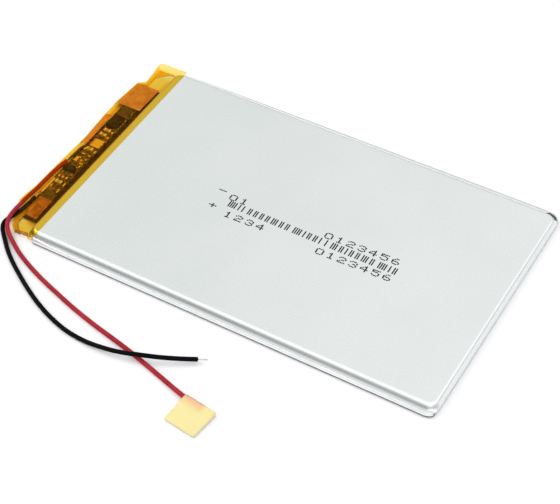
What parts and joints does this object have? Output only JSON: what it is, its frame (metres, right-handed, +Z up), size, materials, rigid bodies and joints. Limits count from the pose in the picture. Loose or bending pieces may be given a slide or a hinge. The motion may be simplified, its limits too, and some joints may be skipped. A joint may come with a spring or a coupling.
{
  "type": "lithium pouch battery cell",
  "caption": "Thin rectangular pouch battery cell in silver film, with a taped protection board on its head and red and black flying leads.",
  "frame": {"origin": "centre of the cell's underside, leads left out, in the plane that the cell lies on", "axes": "+X along the cell from the taped head to the folded foot, +Y across it away from the leads, +Z up through its thickness"},
  "size_m": [0.1024, 0.0858, 0.0025],
  "materials": {
    "pouch_film": "satin silver laminated film with a clear plastic skin",
    "anode_coating": "matt graphite coating on copper foil",
    "cathode_coating": "matt dark oxide coating on aluminium foil",
    "separator_film": "matt white porous film",
    "nickel": "rolled nickel strip",
    "bare_aluminium": "rolled aluminium strip",
    "tab_sealant": "milky heat-seal film",
    "insulating_paper": "matt fish paper",
    "circuit_board": "dark green solder mask over copper tracks",
    "gold_plate": "flash gold plate",
    "chip_moulding": "fine matt epoxy moulding",
    "chip_ceramic": "tan ceramic with tinned ends",
    "solder": "bright reflowed solder",
    "amber_tape": "glossy see-through amber polyimide tape",
    "orange_tape": "glossy orange polyimide tape in more than one layer",
    "black_insulation": "smooth slightly glossy insulation",
    "red_insulation": "smooth slightly glossy insulation",
    "tinned_copper": "twisted tinned strands",
    "flag_tape": "matt creped masking tape, pale yellow"
  },
  "bodies": {
    "root": {"pouch_front_shell": "pouch_film", "pouch_back_sheet": "pouch_film", "anode_strip": "anode_coating", "separator_inner": "separator_film", "cathode_strip": "cathode_coating", "separator_outer": "separator_film", "winding_stop_tape": "amber_tape", "negative_tab": "nickel", "positive_tab": "bare_aluminium", "negative_tab_sealant": "tab_sealant", "positive_tab_sealant": "tab_sealant", "negative_strap": "nickel", "positive_strap": "nickel", "insulating_paper": "insulating_paper", "protection_board": "circuit_board", "mosfet_lead_frame": "gold_plate", "mosfet": "chip_moulding", "protection_chip_lead_frame": "solder", "protection_chip": "chip_moulding", "filter_resistor": "chip_ceramic", "supply_capacitor": "chip_ceramic", "output_capacitor": "chip_ceramic", "sense_resistor": "chip_ceramic", "test_pad": "gold_plate", "edge_pad": "gold_plate", "positive_lead_pad": "gold_plate", "red_solder_joint": "solder", "black_solder_joint": "solder", "far_tape_patch": "orange_tape", "near_tape_patch": "orange_tape", "edge_tape_patch": "orange_tape", "head_tape": "amber_tape", "black_lead": "black_insulation", "black_lead_tip": "tinned_copper", "red_lead": "red_insulation", "red_lead_tip": "tinned_copper", "red_lead_flag": "flag_tape"}
  },
  "joints": []
}
